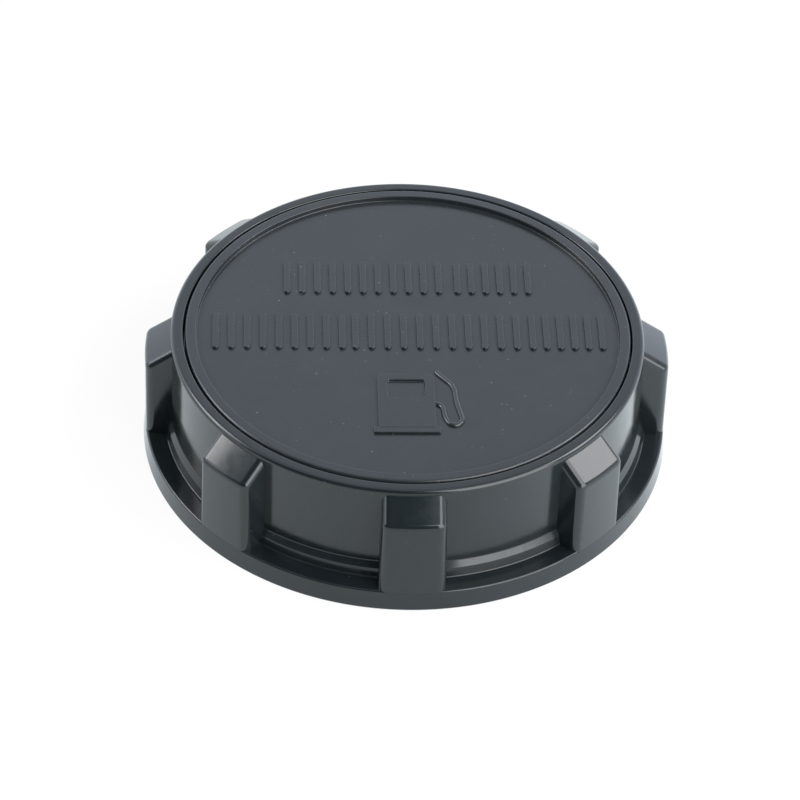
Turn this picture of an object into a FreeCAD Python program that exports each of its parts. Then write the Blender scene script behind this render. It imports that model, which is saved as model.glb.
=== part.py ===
"""Vented, ratcheting fuel filler cap: a lugged grip shell that turns on a threaded closure.

Millimetres, +Z up. The origin is the middle of the face that the cap stands on, and +Z is the
cap's own axis, from the open mouth towards the flat top. One lug points along -Y.
"""
import FreeCAD, Part
import math
import os

import Sketcher
from FreeCAD import Placement, Rotation, Vector

SIZES = [
    # Grip shell, outside
    ("total_height", 25.0, "base to top rim"),
    ("wall_thickness", 2.95, "wall between its inside under the web and the top rim's outside"),
    ("rim_width", 2.35, "width of the top rim"),
    ("rim_edge_round", 0.9, "rounding of the rim's outer edge"),
    ("rim_inner_round", 0.35, "rounding of the rim's inner edge"),
    ("wall_lean", 0.15, "how far the wall leans out from rim to shoulder"),
    ("crease_round", 0.5, "hollow corner between wall and shoulder"),
    ("shoulder_width", 0.75, "width of the sloping shoulder round the wall's foot"),
    ("shoulder_height", 1.3, "height of the shoulder's slope"),
    ("shoulder_edge_round", 0.2, "rounding of the shoulder's edge"),
    ("step_height", 1.8, "floor between the lugs up to the shoulder's edge"),
    ("step_foot_round", 0.4, "hollow corner between step and floor"),
    ("flange_height", 4.25, "base to the floor between the lugs"),
    ("face_reach", 5.0, "top rim's outside out to the skirt's upper edge"),
    ("skirt_flare", 0.4, "how far the skirt flares out down to its foot"),
    ("lug_lean", 0.1, "how far the lugs' outer face leans in from floor to corner"),
    ("skirt_edge_round", 0.4, "rounding of the skirt's upper edge"),
    ("base_edge_round", 0.3, "rounding of the skirt's lower edge"),
    # Grip shell, lugs
    ("lug_count", 8, "grip lugs round the wall"),
    ("lug_top_drop", 1.1, "rim down to where the lug's sloping top leaves the wall"),
    ("lug_corner_drop", 4.6, "rim down to the lug's outer corner"),
    ("lug_foot_width", 12.6, "lug across its foot"),
    ("lug_corner_width", 12.0, "lug across its outer corner"),
    ("lug_edge_round", 1.4, "rounding of the lug's edges"),
    ("lug_wall", 2.3, "wall left round the hollow core of a lug"),
    ("lug_roof", 3.2, "lug's outer corner down to the roof of its core"),
    ("lug_core_land", 0.5, "foot of the wall's outside to the lug's core"),
    # Grip shell, inside
    ("recess_depth", 2.9, "rim down to the web under the cover"),
    ("web_thickness", 2.3, "web under the cover"),
    ("web_hole_gap", 2.2, "vent turret to the edge of the hole in the web"),
    ("mouth_flare", 0.6, "how far the inside of the wall widens from web to mouth"),
    ("mouth_wall", 2.4, "wall between mouth and groove"),
    ("skirt_wall", 2.1, "wall between groove and skirt's outside"),
    ("groove_depth", 1.8, "depth of the groove under the skirt"),
    ("bearing_rib_width", 1.6, "thickness of the rib that bears on the closure"),
    ("bead_reach", 1.15, "how far the snap bead stands in from the wall"),
    ("bead_face_height", 0.65, "height of the snap bead's face"),
    ("bead_slope_height", 1.3, "height of the snap bead's slope"),
    # Ratchet
    ("tooth_count", 36, "ratchet teeth inside the shell"),
    ("tooth_reach", 1.3, "height of a ratchet tooth"),
    ("tooth_span", 8.5, "degrees that a tooth's slope covers"),
    ("arm_count", 6, "pawl arms on the ratchet ring"),
    ("ratchet_height", 3.8, "height of the ratchet ring"),
    ("ratchet_head_gap", 1.0, "ratchet ring up to the web"),
    ("ratchet_band_width", 3.2, "width of the ratchet ring's band"),
    ("arm_tooth_gap", 1.4, "pawl arm to the tips of the teeth"),
    ("arm_gap", 1.2, "space behind a pawl arm"),
    ("arm_thickness", 1.1, "thickness of a pawl arm"),
    ("arm_teeth", 4, "teeth that a pawl arm spans"),
    ("root_angle", 5.0, "degrees that a pawl arm's root covers"),
    ("pawl_gap", 0.35, "space between pawl tip and teeth"),
    ("pawl_side_angle", 0.5, "degrees between a pawl tip and the tooth that drives it"),
    ("key_width", 5.0, "width of the keys that drive the ratchet ring"),
    ("key_reach", 1.4, "how far a key enters the ring"),
    ("key_length", 4.0, "radial length of a key"),
    ("fit_gap", 0.2, "space between pieces that are assembled together"),
    ("turn_gap", 0.3, "running space between grip shell and closure"),
    # Top cover
    ("cover_gap", 0.45, "gap between cover and rim"),
    ("cover_under_gap", 0.2, "cover's plate above the web inside its foot ring"),
    ("cover_edge_round", 0.8, "rounding of the cover's outer edge"),
    ("band_width", 2.15, "flat band round the cover"),
    ("band_edge_round", 0.2, "rounding of the band's inner edge"),
    ("field_drop", 1.1, "band down to the cover's field"),
    ("field_round", 0.7, "hollow corner between band and field"),
    ("foot_ring_width", 3.4, "ring under the cover that rests on the web"),
    ("prong_count", 4, "snap prongs under the cover"),
    ("prong_land", 5.0, "hole in the web out to a prong's inner face"),
    ("prong_thickness", 1.4, "thickness of a prong"),
    ("prong_width", 6.0, "width of a prong"),
    ("hook_reach", 0.8, "how far a prong's hook stands out"),
    ("hook_face_height", 0.5, "height of a hook's outer face"),
    ("hook_slope_height", 1.0, "height of a hook's slope"),
    # Closure
    ("closure_lift", 1.5, "base of the cap to the closure's lower edge"),
    ("mouth_round", 0.4, "rounding of the closure's lower outer edge"),
    ("thread_radius", 38.0, "wall at the root of the neck thread"),
    ("thread_lead", 0.4, "lead-in at the closure's mouth"),
    ("closure_wall", 2.4, "closure wall outside the thread"),
    ("closure_gap", 1.8, "closure wall to the inside of the shell's wall"),
    ("plate_thickness", 2.4, "closure plate"),
    ("plate_gap", 0.2, "edge of the closure plate to the shell's wall"),
    ("gasket_recess", 0.4, "undercut that holds the gasket"),
    ("gasket_play", 0.1, "gasket to the end of the threaded wall"),
    ("gasket_lip_width", 1.0, "thickness of the lip that centres the gasket"),
    ("gasket_lip_height", 1.7, "height of the gasket lip"),
    ("stiffener_count", 8, "ribs under the closure plate"),
    ("stiffener_width", 1.6, "thickness of a rib under the plate"),
    ("stiffener_height", 1.4, "height of a rib under the plate"),
    ("stiffener_gap", 0.4, "valve seat's flange to the end of a rib"),
    ("turret_bore", 10.5, "bore of the vent turret"),
    ("turret_wall", 1.8, "wall of the vent turret"),
    ("turret_head_gap", 1.0, "turret up to the cover's plate"),
    ("turret_roof", 1.0, "roof of the turret"),
    ("roof_hole_radius", 3.0, "hole in the turret's roof"),
    ("window_count", 6, "vent windows in the turret"),
    ("window_width", 4.0, "width of a vent window"),
    ("window_rise", 2.2, "closure plate up to the sill of a vent window"),
    ("window_height", 1.8, "height of a vent window"),
    ("guide_count", 6, "ribs that guide the relief plunger"),
    ("guide_width", 1.2, "thickness of a guide rib"),
    ("guide_reach", 0.7, "how far a guide rib stands in from the turret's bore"),
    # Gasket, filter and valve seat
    ("gasket_width", 5.8, "radial width of the neck gasket"),
    ("gasket_thickness", 2.2, "neck gasket"),
    ("filter_width", 4.7, "foam ring round the turret"),
    ("filter_head_gap", 0.5, "foam ring up to the web"),
    ("seat_flange_land", 1.1, "seal ring's groove out to the edge of the seat's flange"),
    ("seat_flange_thickness", 0.9, "thickness of the valve seat's flange"),
    ("seat_rise", 0.7, "closure plate's underside up to the floor of the valve seat"),
    ("seat_hole_radius", 4.6, "hole in the valve seat"),
    ("seat_lip_land", 1.0, "hole in the valve seat out to the raised lip"),
    ("seat_lip_width", 0.8, "thickness of the seat lip"),
    ("seat_lip_height", 1.0, "height of the seat lip"),
    ("ring_section", 1.4, "thickness of the seal ring round the seat"),
    ("ring_land", 1.3, "turret's bore out to the seal ring's groove"),
    ("ring_play", 0.1, "space beside the seal ring"),
    ("baffle_radius", 11.5, "splash baffle"),
    ("baffle_thickness", 0.7, "plate of the splash baffle"),
    ("baffle_drop", 0.6, "valve seat's flange down to the baffle's plate"),
    ("baffle_post_radius", 1.2, "post of the splash baffle"),
    ("baffle_post_inset", 2.5, "edge of the baffle in to the middle of a post"),
    ("baffle_post_count", 3, "posts of the splash baffle"),
    # Relief valve and vacuum valve
    ("seal_inset", 1.0, "edge of the relief plunger in to the edge of its seal"),
    ("seal_hole_radius", 2.6, "hole in the relief seal"),
    ("seal_thickness", 1.0, "relief seal"),
    ("plunger_thickness", 1.4, "plate of the relief plunger"),
    ("hub_wall", 0.95, "wall of the plunger's hub"),
    ("hub_height", 2.7, "plunger's underside to the top of its hub"),
    ("hub_floor", 1.0, "floor of the hub's bore"),
    ("hub_play", 0.15, "retainer to the hub's bore"),
    ("air_hole_radius", 0.4, "air hole in the hub's floor"),
    ("air_hole_count", 4, "air holes in the hub's floor"),
    ("relief_wire", 0.8, "wire of the relief spring"),
    ("relief_coil_radius", 6.2, "middle radius of the relief spring"),
    ("relief_turns", 2.5, "turns of the relief spring"),
    ("stem_radius", 1.15, "stem of the vacuum valve"),
    ("stem_play", 0.05, "running clearance round the stem"),
    ("stem_snap_reach", 0.3, "how far the stem's snap head stands out"),
    ("stem_snap_height", 0.4, "height of the stem's snap head"),
    ("head_gap", 0.6, "vacuum valve's head to the hole in the valve seat"),
    ("head_thickness", 0.9, "thickness of the vacuum valve's head"),
    ("retainer_width", 1.0, "radial width of the retainer on the stem"),
    ("retainer_height", 0.6, "thickness of the retainer"),
    ("vacuum_wire", 0.3, "wire of the vacuum spring"),
    ("vacuum_coil_gap", 0.45, "stem's hole to the inside of the vacuum spring"),
    ("vacuum_spring_length", 2.6, "vacuum spring between its two seats"),
    ("vacuum_turns", 4.0, "turns of the vacuum spring"),
]

SHEET = "Sizes"
BURIED = 0.4
OVERRUN = 1.0


class Size:
    """A length or angle with its formula over the sheet, so that geometry can be bound to it."""

    def __init__(self, value, formula):
        self.value = value
        self.formula = formula

    def joined(self, other, sign, value):
        return Size(value, f"({self.formula} {sign} {as_size(other).formula})")

    def __add__(self, other):
        return self.joined(other, "+", self.value + as_size(other).value)

    def __sub__(self, other):
        return self.joined(other, "-", self.value - as_size(other).value)

    def __mul__(self, other):
        return self.joined(other, "*", self.value * as_size(other).value)

    def __truediv__(self, other):
        return self.joined(other, "/", self.value / as_size(other).value)

    def __neg__(self):
        return Size(-self.value, f"(-1 * {self.formula})")

    def at_most(self, other):
        """This size, or the other one where that is smaller."""
        return Size(min(self.value, other.value), f"min({self.formula}; {other.formula})")

    def cos(self):
        return Size(math.cos(math.radians(self.value)), f"cos({self.formula})")

    def sin(self):
        return Size(math.sin(math.radians(self.value)), f"sin({self.formula})")


def as_size(number):
    return number if isinstance(number, Size) else Size(number, repr(number))


def polar(radius, angle):
    """A point of the plan view, from its radius and its angle in degrees."""
    angle = as_size(angle)
    return radius * angle.cos(), radius * angle.sin()


def make_sheet(doc):
    """Write the driving sizes to the spreadsheet and hand them back by name."""
    sheet = doc.addObject("Spreadsheet::Sheet", SHEET)
    named = {}
    for row, (name, value, meaning) in enumerate(SIZES, start=1):
        sheet.set(f"A{row}", meaning)
        sheet.set(f"B{row}", str(value))
        sheet.setAlias(f"B{row}", name)
        named[name] = Size(value, f"{SHEET}.{name}")
    doc.recompute()
    return named


class Sizes:
    """The driving sizes, and the levels and radii that follow from more than one of them."""

    def __init__(self, named):
        for name, size in named.items():
            setattr(self, name, size)
        self.set_shell_radii()
        self.set_levels()
        self.set_cover_sizes()
        self.set_valve_radii()

    def set_shell_radii(self):
        """From the neck thread outwards: closure, running gap, shell wall, shoulder and skirt."""
        self.closure_outer = self.thread_radius + self.closure_wall
        self.inner_wall_radius = self.closure_outer + self.closure_gap
        self.plate_radius = self.inner_wall_radius - self.plate_gap
        self.mouth_radius = self.inner_wall_radius + self.mouth_flare
        self.rim_radius = self.inner_wall_radius + self.wall_thickness
        self.recess_radius = self.rim_radius - self.rim_width
        self.wall_foot_radius = self.rim_radius + self.wall_lean
        self.shoulder_radius = self.wall_foot_radius + self.shoulder_width
        self.face_radius = self.rim_radius + self.face_reach
        self.skirt_radius = self.face_radius + self.skirt_flare
        self.groove_inner = self.mouth_radius + self.mouth_wall
        self.groove_outer = self.skirt_radius - self.skirt_wall
        self.lug_core_inner = self.wall_foot_radius + self.lug_core_land
        self.tooth_tip = self.inner_wall_radius - self.tooth_reach
        self.arm_outer = self.tooth_tip - self.arm_tooth_gap
        self.arm_inner = self.arm_outer - self.arm_thickness
        self.ratchet_outer = self.arm_inner - self.arm_gap
        self.ratchet_inner = self.ratchet_outer - self.ratchet_band_width
        self.key_outer = self.ratchet_inner + self.key_reach - self.fit_gap
        self.key_inner = self.key_outer - self.key_length
        self.gasket_outer = self.thread_radius + self.gasket_recess
        self.gasket_inner = self.gasket_outer - self.gasket_width
        self.gasket_lip_outer = self.gasket_inner - self.fit_gap
        self.gasket_lip_inner = self.gasket_lip_outer - self.gasket_lip_width

    def set_levels(self):
        """From the rim down: web, ratchet, closure plate, gasket, valve seat and valves."""
        self.shoulder_level = self.flange_height + self.step_height
        self.crease_level = self.shoulder_level + self.shoulder_height
        self.web_top = self.total_height - self.recess_depth
        self.web_bottom = self.web_top - self.web_thickness
        self.lug_corner = self.total_height - self.lug_corner_drop
        self.lug_core_top = self.lug_corner - self.lug_roof
        self.ratchet_top = self.web_bottom - self.ratchet_head_gap
        self.plate_top = self.ratchet_top - self.ratchet_height
        self.plate_bottom = self.plate_top - self.plate_thickness
        self.bead_top = self.plate_bottom - self.turn_gap
        self.gasket_bottom = self.plate_bottom - self.gasket_thickness
        self.gasket_seat = self.gasket_bottom - self.gasket_play
        self.filter_top = self.web_bottom - self.filter_head_gap
        self.cover_plate_bottom = self.web_top + self.cover_under_gap
        self.turret_top = self.cover_plate_bottom - self.turret_head_gap
        self.roof_bottom = self.turret_top - self.turret_roof
        self.window_bottom = self.plate_top + self.window_rise
        self.seat_flange_bottom = self.plate_bottom - self.seat_flange_thickness
        self.baffle_top = self.seat_flange_bottom - self.baffle_drop
        self.baffle_bottom = self.baffle_top - self.baffle_thickness
        self.seat_floor_top = self.plate_bottom + self.seat_rise
        self.seal_bottom = self.seat_floor_top + self.seat_lip_height
        self.head_bottom = self.seal_bottom - self.head_thickness
        self.plunger_bottom = self.seal_bottom + self.seal_thickness
        self.plunger_top = self.plunger_bottom + self.plunger_thickness
        self.hub_top = self.plunger_bottom + self.hub_height
        self.hub_bore_floor = self.plunger_bottom + self.hub_floor
        self.retainer_bottom = self.hub_bore_floor + self.vacuum_spring_length
        self.retainer_top = self.retainer_bottom + self.retainer_height
        self.stem_top = self.retainer_top + self.stem_snap_height

    def set_cover_sizes(self):
        """The cover in its recess, and its prongs between the web's hole and the bearing rib."""
        self.cover_radius = self.recess_radius - self.cover_gap
        self.band_inner = self.cover_radius - self.band_width
        self.field_level = self.total_height - self.field_drop
        self.turret_outer = self.turret_bore + self.turret_wall
        self.web_hole_radius = self.turret_outer + self.web_hole_gap
        self.prong_inner = self.web_hole_radius + self.prong_land
        self.prong_outer = self.prong_inner + self.prong_thickness
        self.hook_outer = self.prong_outer + self.hook_reach
        self.hook_top = self.web_bottom - self.fit_gap
        rib_middle = (self.hook_outer + self.key_inner) / 2
        self.bearing_rib_inner = rib_middle - self.bearing_rib_width / 2
        self.bearing_rib_outer = rib_middle + self.bearing_rib_width / 2

    def set_valve_radii(self):
        """The seal ring's groove round the turret's bore, and the valves inside that bore."""
        self.ring_groove_inner = self.turret_bore + self.ring_land
        self.ring_inner = self.ring_groove_inner + self.ring_play
        self.ring_groove_outer = self.ring_inner + self.ring_section + self.ring_play
        self.seat_flange_radius = self.ring_groove_outer + self.seat_flange_land
        self.seat_lip_inner = self.seat_hole_radius + self.seat_lip_land
        self.guide_inner = self.turret_bore - self.guide_reach
        self.plunger_radius = self.guide_inner - self.fit_gap
        self.seal_radius = self.plunger_radius - self.seal_inset
        self.stem_hole = self.stem_radius + self.stem_play
        self.retainer_radius = self.stem_hole + self.retainer_width
        self.hub_bore = self.retainer_radius + self.hub_play
        self.hub_radius = self.hub_bore + self.hub_wall
        self.head_radius = self.seat_hole_radius - self.head_gap
        self.vacuum_coil_radius = self.stem_hole + self.vacuum_coil_gap + self.vacuum_wire / 2

    def outer_face(self, level):
        """Radius of the lugs' outer face at a height above the base."""
        rise = (level - self.flange_height) / (self.lug_corner - self.flange_height)
        return self.face_radius - self.lug_lean * rise

    def inner_wall(self, level):
        """Radius of the inside of the wall, which widens towards the mouth."""
        widening = self.mouth_radius - self.inner_wall_radius
        return self.mouth_radius - widening * level / self.web_bottom


def new_body(doc, name):
    body = doc.addObject("PartDesign::Body", name)
    body.Label = name
    return body


def new_sketch(body, name, plane, level=None):
    """A sketch on one of the body's own planes, moved along its normal by level."""
    sketch = body.newObject("Sketcher::SketchObject", name)
    origin_plane = next(f for f in body.Origin.OriginFeatures if f.Role == plane)
    sketch.AttachmentSupport = (origin_plane, [""])
    sketch.MapMode = "FlatFace"
    if level is not None:
        sketch.AttachmentOffset = Placement(Vector(0, 0, level.value), Rotation())
        sketch.setExpression("AttachmentOffset.Base.z", level.formula)
    return sketch


def pin_point(sketch, geometry, point, x, y):
    """Hold a sketch point at its two coordinates, each bound to its formula."""
    for kind, axis, size in (("DistanceX", -2, as_size(x)), ("DistanceY", -1, as_size(y))):
        if abs(size.value) < 1e-9:
            sketch.addConstraint(Sketcher.Constraint("PointOnObject", geometry, point, axis))
            continue
        if size.value > 0:
            ends, distance = (-1, 1, geometry, point), size
        else:
            ends, distance = (geometry, point, -1, 1), -size
        index = sketch.addConstraint(Sketcher.Constraint(kind, *ends, distance.value))
        sketch.setExpression(f"Constraints[{index}]", distance.formula)


def draw_outline(sketch, corners):
    """A closed outline of straight lines through the given corners."""
    places = [Vector(as_size(x).value, as_size(y).value, 0) for x, y in corners]
    first = sketch.GeometryCount
    total = len(places)
    for i in range(total):
        sketch.addGeometry(Part.LineSegment(places[i], places[(i + 1) % total]), False)
    for i in range(total):
        following = first + (i + 1) % total
        sketch.addConstraint(Sketcher.Constraint("Coincident", first + i, 2, following, 1))
    for i, (x, y) in enumerate(corners):
        pin_point(sketch, first + i, 1, x, y)


def draw_circle(sketch, x, y, radius):
    """A circle held at its middle and by its radius."""
    middle = Vector(as_size(x).value, as_size(y).value, 0)
    circle = sketch.addGeometry(Part.Circle(middle, Vector(0, 0, 1), radius.value), False)
    pin_point(sketch, circle, 3, x, y)
    index = sketch.addConstraint(Sketcher.Constraint("Radius", circle, radius.value))
    sketch.setExpression(f"Constraints[{index}]", radius.formula)


def rectangle(left, right, bottom, top):
    return [(left, bottom), (right, bottom), (right, top), (left, top)]


def section(body, name, corners, plane="XZ_Plane"):
    """A half section of the body: radius across, height up."""
    sketch = new_sketch(body, name, plane)
    draw_outline(sketch, corners)
    return sketch


def revolve(body, name, corners, angle=None, backwards=False):
    """Turn a half section about the cap's axis, all the way round unless an angle is given."""
    sketch = section(body, f"{name}_section", corners)
    feature = body.newObject("PartDesign::Revolution", name)
    feature.Profile = sketch
    feature.ReferenceAxis = (sketch, ["V_Axis"])
    feature.Reversed = backwards
    if angle is None:
        feature.Angle = 360
    else:
        feature.Angle = angle.value
        feature.setExpression("Angle", angle.formula)
    return feature


def extrude(body, kind, name, sketch, length, both_ways=False, backwards=False):
    """Pad or pocket a sketch by a length, to one side or half to each."""
    feature = body.newObject(f"PartDesign::{kind}", name)
    feature.Profile = sketch
    feature.Length = length.value
    feature.setExpression("Length", length.formula)
    feature.Midplane = both_ways
    feature.Reversed = backwards
    return feature


def around(body, name, features, count):
    """Repeat features evenly round the cap's axis."""
    pattern = body.newObject("PartDesign::PolarPattern", name)
    pattern.Originals = features
    sketch = features[0].Profile[0]
    lies_flat = sketch.AttachmentSupport[0][0].Role == "XY_Plane"
    pattern.Axis = (sketch, ["N_Axis" if lies_flat else "V_Axis"])
    pattern.Angle = 360
    pattern.Occurrences = int(count.value)
    pattern.setExpression("Occurrences", count.formula)
    body.Tip = pattern
    return pattern


def ring_edges(shape, spots):
    """Names of the full circular edges through the given (radius, height) spots."""
    names = []
    for radius, level in spots:
        for i, edge in enumerate(shape.Edges, start=1):
            curve = edge.Curve
            if not isinstance(curve, Part.Circle):
                continue
            if abs(curve.Radius - radius.value) > 1e-4 or abs(curve.Center.z - level.value) > 1e-4:
                continue
            names.append(f"Edge{i}")
    return names


def round_rings(body, name, base, spots, radius):
    """Round the circular edges through the given spots."""
    fillet = body.newObject("PartDesign::Fillet", name)
    fillet.Base = (base, ring_edges(base.Shape, spots))
    fillet.Radius = radius.value
    fillet.setExpression("Radius", radius.formula)
    body.Document.recompute()
    return fillet


def boolean(doc, kind, name, base, tool):
    """Fuse, Cut or Common of two objects."""
    result = doc.addObject(f"Part::{kind}", name)
    result.Base = base
    result.Tool = tool
    result.Label = name
    doc.recompute()
    return result


def shell_body(doc, s):
    """The shell without its lugs: top rim, cover recess, web, stepped wall and skirt."""
    body = new_body(doc, "shell_ring")
    bead_inner = s.inner_wall(s.bead_top) - s.bead_reach
    bead_middle = s.bead_top - s.bead_face_height
    bead_bottom = bead_middle - s.bead_slope_height
    rib_bottom = s.plate_top + s.turn_gap
    turned = revolve(body, "shell_turned", [
        (s.mouth_radius, 0),
        (s.groove_inner, 0),
        (s.groove_inner, s.groove_depth),
        (s.groove_outer, s.groove_depth),
        (s.groove_outer, 0),
        (s.skirt_radius, 0),
        (s.face_radius, s.flange_height),
        (s.shoulder_radius, s.flange_height),
        (s.shoulder_radius, s.shoulder_level),
        (s.wall_foot_radius, s.crease_level),
        (s.rim_radius, s.total_height),
        (s.recess_radius, s.total_height),
        (s.recess_radius, s.web_top),
        (s.web_hole_radius, s.web_top),
        (s.web_hole_radius, s.web_bottom),
        (s.bearing_rib_inner, s.web_bottom),
        (s.bearing_rib_inner, rib_bottom),
        (s.bearing_rib_outer, rib_bottom),
        (s.bearing_rib_outer, s.web_bottom),
        (s.inner_wall_radius, s.web_bottom),
        (s.inner_wall(s.bead_top), s.bead_top),
        (bead_inner, s.bead_top),
        (bead_inner, bead_middle),
        (s.inner_wall(bead_bottom), bead_bottom),
    ])
    doc.recompute()
    top = s.total_height
    half_shoulder = s.shoulder_width / 2
    rounds = [
        ("rim_edge", [(s.rim_radius, top)], s.rim_edge_round),
        ("rim_inner_edge", [(s.recess_radius, top)], s.rim_inner_round),
        ("crease", [(s.wall_foot_radius, s.crease_level)], s.crease_round),
        ("shoulder_edge", [(s.shoulder_radius, s.shoulder_level)],
         s.shoulder_edge_round.at_most(half_shoulder)),
        ("step_foot", [(s.shoulder_radius, s.flange_height)], s.step_foot_round),
        ("skirt_edge", [(s.face_radius, s.flange_height)], s.skirt_edge_round),
        ("base_edge", [(s.skirt_radius, Size(0.0, "0"))], s.base_edge_round),
    ]
    feature = turned
    for name, spots, radius in rounds:
        feature = round_rings(body, name, feature, spots, radius)
    add_ratchet_teeth(body, s)
    cut_prong_slots(body, s)
    doc.recompute()
    return body


def add_ratchet_teeth(body, s):
    """Saw teeth inside the wall: steep faces loosen the closure, slopes click when it is tight."""
    bottom = s.plate_top + s.turn_gap
    buried_radius = s.inner_wall_radius + BURIED
    sketch = new_sketch(body, "tooth_outline", "XY_Plane", bottom)
    draw_outline(sketch, [
        polar(buried_radius, 0),
        polar(s.tooth_tip, 0),
        polar(buried_radius, -s.tooth_span),
    ])
    tooth = extrude(body, "Pad", "tooth", sketch, s.web_bottom - bottom + BURIED)
    around(body, "teeth", [tooth], s.tooth_count)


def cut_prong_slots(body, s):
    """Slots in the web for the cover's snap prongs."""
    sketch = new_sketch(body, "slot_outline", "XY_Plane", s.web_top)
    side = s.prong_width / 2 + s.fit_gap
    inner = s.prong_inner - s.fit_gap
    outer = s.hook_outer + s.fit_gap
    draw_outline(sketch, [(inner, -side), (outer, -side), (outer, side), (inner, side)])
    slot = extrude(body, "Pocket", "slot", sketch, s.web_thickness + OVERRUN)
    around(body, "slots", [slot], s.prong_count)


def lug_ring(doc, s, name, corners):
    """A ring with the lugs' half section, from which the lugs are cut."""
    body = new_body(doc, name)
    revolve(body, f"{name}_turned", corners)
    doc.recompute()
    return body


def lug_spokes(doc, s, name, side_wall):
    """Spokes with the lugs' sloping sides, each side set in by side_wall."""
    body = new_body(doc, name)
    rise = s.lug_corner - s.flange_height
    slope = (s.lug_foot_width - s.lug_corner_width) / 2 / rise

    def half_width(level):
        return s.lug_foot_width / 2 - slope * (level - s.flange_height) - side_wall

    bottom = as_size(-OVERRUN)
    top = s.total_height + OVERRUN
    sketch = new_sketch(body, f"{name}_outline", "XZ_Plane")
    draw_outline(sketch, [
        (-half_width(bottom), bottom),
        (half_width(bottom), bottom),
        (half_width(top), top),
        (-half_width(top), top),
    ])
    spoke = extrude(body, "Pad", f"{name}_spoke", sketch, s.skirt_radius + OVERRUN)
    around(body, f"{name}_all", [spoke], s.lug_count)
    doc.recompute()
    return body


def lug_edges_to_round(shape, s):
    """The edges that a hand feels: each lug's two sides, its top corner and its slope's sides."""
    edges = []
    radius = s.lug_edge_round.value
    for i, edge in enumerate(shape.Edges, start=1):
        middle = edge.valueAt((edge.FirstParameter + edge.LastParameter) / 2)
        reach = math.hypot(middle.x, middle.y)
        if middle.z > s.flange_height.value and reach > s.shoulder_radius.value:
            edges.append((i, radius, radius))
    return edges


def grip_shell(doc, s):
    """Grip shell: one moulding with lugs round a stepped wall, hollow under each lug."""
    root = s.rim_radius - s.rim_width / 2
    slope = (s.lug_corner_drop - s.lug_top_drop) / (s.outer_face(s.lug_corner) - s.rim_radius)
    buried = s.flange_height / 2
    outline = [
        (root, buried),
        (s.face_radius, buried),
        (s.face_radius, s.flange_height),
        (s.outer_face(s.lug_corner), s.lug_corner),
        (root, s.total_height - s.lug_top_drop + slope * (s.rim_radius - root)),
    ]
    ring = lug_ring(doc, s, "lug_ring", outline)
    spokes = lug_spokes(doc, s, "lug_spokes", as_size(0))
    lugs = boolean(doc, "Common", "square_lugs", ring, spokes)
    rounded = doc.addObject("Part::Fillet", "rounded_lugs")
    rounded.Base = lugs
    rounded.Edges = lug_edges_to_round(lugs.Shape, s)
    doc.recompute()

    bottom = as_size(-OVERRUN)
    core_outer = s.outer_face(s.lug_core_top) - s.lug_wall
    core_corners = rectangle(s.lug_core_inner, core_outer, bottom, s.lug_core_top)
    core_ring = lug_ring(doc, s, "core_ring", core_corners)
    core_spokes = lug_spokes(doc, s, "core_spokes", s.lug_wall)
    cores = boolean(doc, "Common", "lug_cores", core_ring, core_spokes)

    solid_grip = boolean(doc, "Fuse", "solid_grip", shell_body(doc, s), rounded)
    return boolean(doc, "Cut", "grip_shell", solid_grip, cores)


def top_cover(doc, s):
    """Round cover snapped into the rim: a flat band with a lower field inside it."""
    body = new_body(doc, "top_cover")
    foot_inner = s.cover_radius - s.foot_ring_width
    turned = revolve(body, "cover_turned", [
        (0, s.cover_plate_bottom),
        (foot_inner, s.cover_plate_bottom),
        (foot_inner, s.web_top),
        (s.cover_radius, s.web_top),
        (s.cover_radius, s.total_height),
        (s.band_inner, s.total_height),
        (s.band_inner, s.field_level),
        (0, s.field_level),
    ])
    doc.recompute()
    top = s.total_height
    edge = round_rings(body, "cover_edge", turned, [(s.cover_radius, top)], s.cover_edge_round)
    band_round = s.band_edge_round.at_most(s.field_drop / 3)
    band = round_rings(body, "band_edge", edge, [(s.band_inner, top)], band_round)
    field_round = s.field_round.at_most(s.field_drop - band_round - s.fit_gap / 2)
    round_rings(body, "field_corner", band, [(s.band_inner, s.field_level)], field_round)

    hook_middle = s.hook_top - s.hook_face_height
    hook_bottom = hook_middle - s.hook_slope_height
    sketch = section(body, "prong_section", [
        (s.prong_inner, hook_bottom),
        (s.prong_outer, hook_bottom),
        (s.hook_outer, hook_middle),
        (s.hook_outer, s.hook_top),
        (s.prong_outer, s.hook_top),
        (s.prong_outer, s.cover_plate_bottom + BURIED),
        (s.prong_inner, s.cover_plate_bottom + BURIED),
    ])
    prong = extrude(body, "Pad", "prong", sketch, s.prong_width, both_ways=True)
    around(body, "prongs", [prong], s.prong_count)
    return body


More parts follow.
